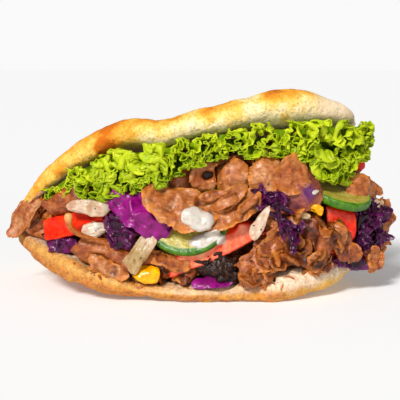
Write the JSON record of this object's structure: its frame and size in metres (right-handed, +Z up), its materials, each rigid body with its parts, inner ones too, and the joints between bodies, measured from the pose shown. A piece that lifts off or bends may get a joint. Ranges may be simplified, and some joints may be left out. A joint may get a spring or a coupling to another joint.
{
  "type": "doner kebab sandwich",
  "caption": "Flatbread folded round shaved meat, lettuce, tomato, cucumber, cabbage and onion, open along its front and resting flat on its lower half.",
  "frame": {"origin": "on the surface it rests on, under the centre of the bounding box", "axes": "+Z up, the open mouth faces -Y, the closed fold faces +Y, the longest side runs along X with the pointed end at -X"},
  "size_m": [0.197, 0.1194, 0.1031],
  "materials": {
    "crust": "matte",
    "lettuce": "satin",
    "meat": "satin",
    "dark_meat": "satin",
    "tomato": "gloss",
    "cucumber": "satin",
    "cabbage": "satin",
    "onion": "satin",
    "corn": "gloss",
    "carrot": "satin"
  },
  "bodies": {
    "root": {"bread": "crust", "cabbage_1": "cabbage", "cabbage_2": "cabbage", "cabbage_3": "cabbage", "cabbage_4": "cabbage", "cabbage_5": "cabbage", "cabbage_6": "cabbage", "cabbage_7": "cabbage", "cabbage_8": "cabbage", "cabbage_9": "cabbage", "carrot_curl": "carrot", "charred_meat": "dark_meat", "corn_1": "corn", "corn_2": "corn", "cucumber_1": "cucumber", "cucumber_2": "cucumber", "lettuce_1": "lettuce", "lettuce_2": "lettuce", "lettuce_3": "lettuce", "lettuce_4": "lettuce", "lettuce_5": "lettuce", "meat_01": "meat", "meat_02": "meat", "meat_03": "meat", "meat_04": "meat", "meat_05": "meat", "meat_06": "meat", "meat_07": "meat", "meat_08": "meat", "meat_09": "meat", "meat_10": "meat", "meat_11": "meat", "meat_12": "meat", "meat_13": "meat", "meat_14": "meat", "meat_15": "meat", "meat_16": "meat", "meat_17": "meat", "meat_18": "meat", "meat_19": "meat", "meat_20": "meat", "meat_21": "meat", "meat_22": "meat", "meat_23": "meat", "meat_24": "meat", "meat_25": "meat", "meat_26": "meat", "meat_27": "meat", "meat_28": "dark_meat", "meat_heap": "meat", "onion_1": "onion", "onion_2": "onion", "onion_3": "onion", "onion_4": "onion", "onion_5": "onion", "tomato_1": "tomato", "tomato_2": "tomato", "tomato_3": "tomato", "tomato_4": "tomato"}
  },
  "joints": []
}
